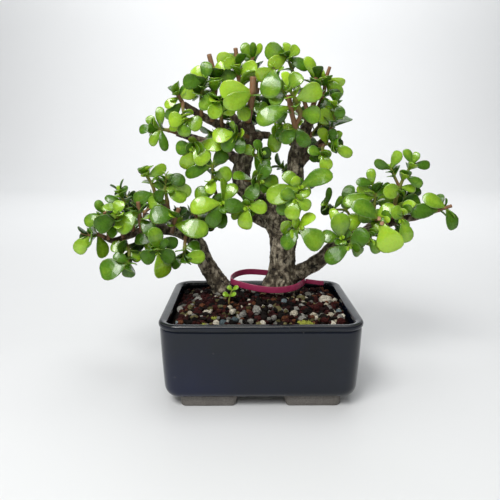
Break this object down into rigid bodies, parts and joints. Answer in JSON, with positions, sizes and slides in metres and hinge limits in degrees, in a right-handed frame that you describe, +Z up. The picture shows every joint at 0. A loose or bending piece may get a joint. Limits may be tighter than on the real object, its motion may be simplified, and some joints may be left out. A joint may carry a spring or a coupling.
{
  "type": "bonsai tree in a pot",
  "caption": "Miniature jade tree with leaning trunks, fleshy green leaves and cut twig stubs, planted in gravel in a dark glazed rectangular pot on feet.",
  "frame": {"origin": "middle of the whole object's box in X and Y, at the undersides of the pot's feet", "axes": "+Z up, +X to the viewer's right along the pot's long side and the tree's spread, +Y away from the viewer"},
  "size_m": [0.3222, 0.1472, 0.2771],
  "materials": {
    "pot": "dark navy gloss glaze, unglazed feet",
    "mesh": "moulded black mesh",
    "soil": "loose gravel of lava, pumice and bark",
    "bark": "rough grey-brown bark",
    "tag": "satin crimson strip",
    "leaf": "smooth waxy green leaves on brown twigs"
  },
  "bodies": {
    "root": {"basal_sprout": "leaf", "drain_mesh_left": "mesh", "drain_mesh_right": "mesh", "leaves_crown_back_left": "leaf", "leaves_crown_back_right": "leaf", "leaves_crown_back_top": "leaf", "leaves_crown_front_low": "leaf", "leaves_crown_hero": "leaf", "leaves_crown_left_bright": "leaf", "leaves_crown_left_inner": "leaf", "leaves_crown_left_low": "leaf", "leaves_crown_left_stub": "leaf", "leaves_crown_left_tall": "leaf", "leaves_crown_leftmost": "leaf", "leaves_crown_middle_low": "leaf", "leaves_crown_right_low": "leaf", "leaves_crown_right_outer": "leaf", "leaves_crown_right_stub": "leaf", "leaves_crown_right_tip": "leaf", "leaves_crown_shiny": "leaf", "leaves_crown_top": "leaf", "leaves_crown_top_left": "leaf", "leaves_crown_top_right": "leaf", "leaves_far_left": "leaf", "leaves_left_back": "leaf", "leaves_left_front_stub": "leaf", "leaves_left_hanging": "leaf", "leaves_left_inner_high": "leaf", "leaves_left_inner_low": "leaf", "leaves_left_low_outer": "leaf", "leaves_left_middle": "leaf", "leaves_left_stub": "leaf", "leaves_left_top": "leaf", "leaves_left_twig": "leaf", "leaves_left_upper_outer": "leaf", "leaves_middle_back_left": "leaf", "leaves_middle_back_right": "leaf", "leaves_middle_front": "leaf", "leaves_middle_left": "leaf", "leaves_middle_pair": "leaf", "leaves_middle_right_high": "leaf", "leaves_middle_small": "leaf", "leaves_right_back": "leaf", "leaves_right_dark": "leaf", "leaves_right_end": "leaf", "leaves_right_front": "leaf", "leaves_right_inner_tall": "leaf", "leaves_right_large": "leaf", "leaves_right_node_low": "leaf", "leaves_right_shield": "leaf", "leaves_right_tall": "leaf", "leaves_right_thin_twig": "leaf", "leaves_trunk_front": "leaf", "pot": "pot", "soil": "soil", "tag_band": "tag", "trunk_left": "bark", "trunk_main": "bark"}
  },
  "joints": []
}
